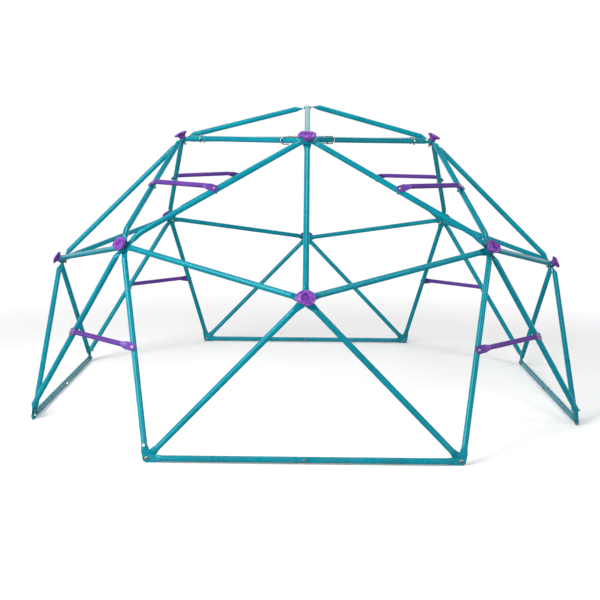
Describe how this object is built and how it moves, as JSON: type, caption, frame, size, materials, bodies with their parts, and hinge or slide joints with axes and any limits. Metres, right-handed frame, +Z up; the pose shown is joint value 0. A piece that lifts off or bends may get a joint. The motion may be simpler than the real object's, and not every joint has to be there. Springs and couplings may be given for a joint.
{
  "type": "dome climber",
  "caption": "Geodesic half-dome climbing frame of bolted tubes with moulded hand-hold caps on its joints and short rungs between its struts.",
  "frame": {"origin": "on the ground, on the dome's vertical axis", "axes": "+Z up along the dome's axis, -Y towards the front side, +X to the right of the front view"},
  "size_m": [2.5608, 2.5608, 1.4384],
  "materials": {
    "teal_tube": "semi-gloss powder coat on steel tube",
    "purple_tube": "satin powder coat on steel tube",
    "cap_plastic": "moulded hold, faintly marbled, softly glossy",
    "cap_plug": "moulded",
    "rubber_spacer": "matt",
    "hook_wire": "bright bent wire",
    "zinc_steel": "zinc plated"
  },
  "bodies": {
    "root": {"anchor_bolts": "zinc_steel", "apex_bolt": "zinc_steel", "belt_struts_back": "teal_tube", "belt_struts_front": "teal_tube", "belt_struts_left": "teal_tube", "belt_struts_right": "teal_tube", "cap_bolts": "zinc_steel", "cap_plugs": "cap_plug", "cap_spacers": "rubber_spacer", "corner_caps": "cap_plastic", "corner_legs_back_left": "teal_tube", "corner_legs_back_right": "teal_tube", "corner_legs_front_left": "teal_tube", "corner_legs_front_right": "teal_tube", "crown_strut_back": "teal_tube", "crown_strut_front": "teal_tube", "crown_strut_left": "teal_tube", "crown_strut_right": "teal_tube", "dome_nuts": "zinc_steel", "foot_bolts": "zinc_steel", "foot_nuts": "zinc_steel", "ground_bar_socket_half_back": "teal_tube", "ground_bar_socket_half_front": "teal_tube", "ground_bar_socket_half_left": "teal_tube", "ground_bar_socket_half_right": "teal_tube", "ground_bar_spigot_half_back": "teal_tube", "ground_bar_spigot_half_front": "teal_tube", "ground_bar_spigot_half_left": "teal_tube", "ground_bar_spigot_half_right": "teal_tube", "m6_nuts": "zinc_steel", "node_washers": "zinc_steel", "ring_caps": "cap_plastic", "ring_hooks": "hook_wire", "ring_strut_back_left": "teal_tube", "ring_strut_back_right": "teal_tube", "ring_strut_front_left": "teal_tube", "ring_strut_front_right": "teal_tube", "rung_bolts": "zinc_steel", "rung_lower_back_left": "purple_tube", "rung_lower_back_right": "purple_tube", "rung_lower_front_left": "purple_tube", "rung_lower_front_right": "purple_tube", "rung_upper_back_left": "purple_tube", "rung_upper_back_right": "purple_tube", "rung_upper_front_left": "purple_tube", "rung_upper_front_right": "purple_tube", "side_caps": "cap_plastic", "side_legs_back": "teal_tube", "side_legs_front": "teal_tube", "side_legs_left": "teal_tube", "side_legs_right": "teal_tube", "spine_strut_back": "teal_tube", "spine_strut_front": "teal_tube", "spine_strut_left": "teal_tube", "spine_strut_right": "teal_tube", "splice_bolts": "zinc_steel", "upper_diagonals_back_left": "teal_tube", "upper_diagonals_back_right": "teal_tube", "upper_diagonals_front_left": "teal_tube", "upper_diagonals_front_right": "teal_tube"}
  },
  "joints": []
}
